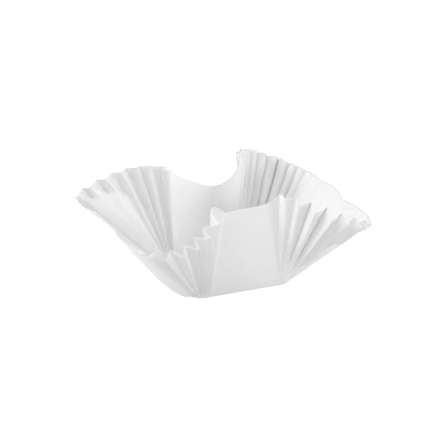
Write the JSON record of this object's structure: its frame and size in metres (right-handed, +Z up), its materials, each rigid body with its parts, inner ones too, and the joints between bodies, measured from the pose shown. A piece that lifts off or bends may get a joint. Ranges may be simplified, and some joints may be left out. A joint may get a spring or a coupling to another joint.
{
  "type": "fluted burger cup",
  "caption": "Open paper cup with a square base, four plain sides and fluted corners that flare out as wings, for holding a burger or a bun.",
  "frame": {"origin": "middle of the underside of the flat square base, where the cup rests", "axes": "+Z up, -Z out of the underside of the base; the front side is at -Y and the right side is at +X"},
  "size_m": [0.2468, 0.2291, 0.1024],
  "materials": {
    "white_paper": "smooth white greaseproof paper, slightly translucent, pressed into flutes"
  },
  "bodies": {
    "root": {"fluted_cup": "white_paper"}
  },
  "joints": []
}
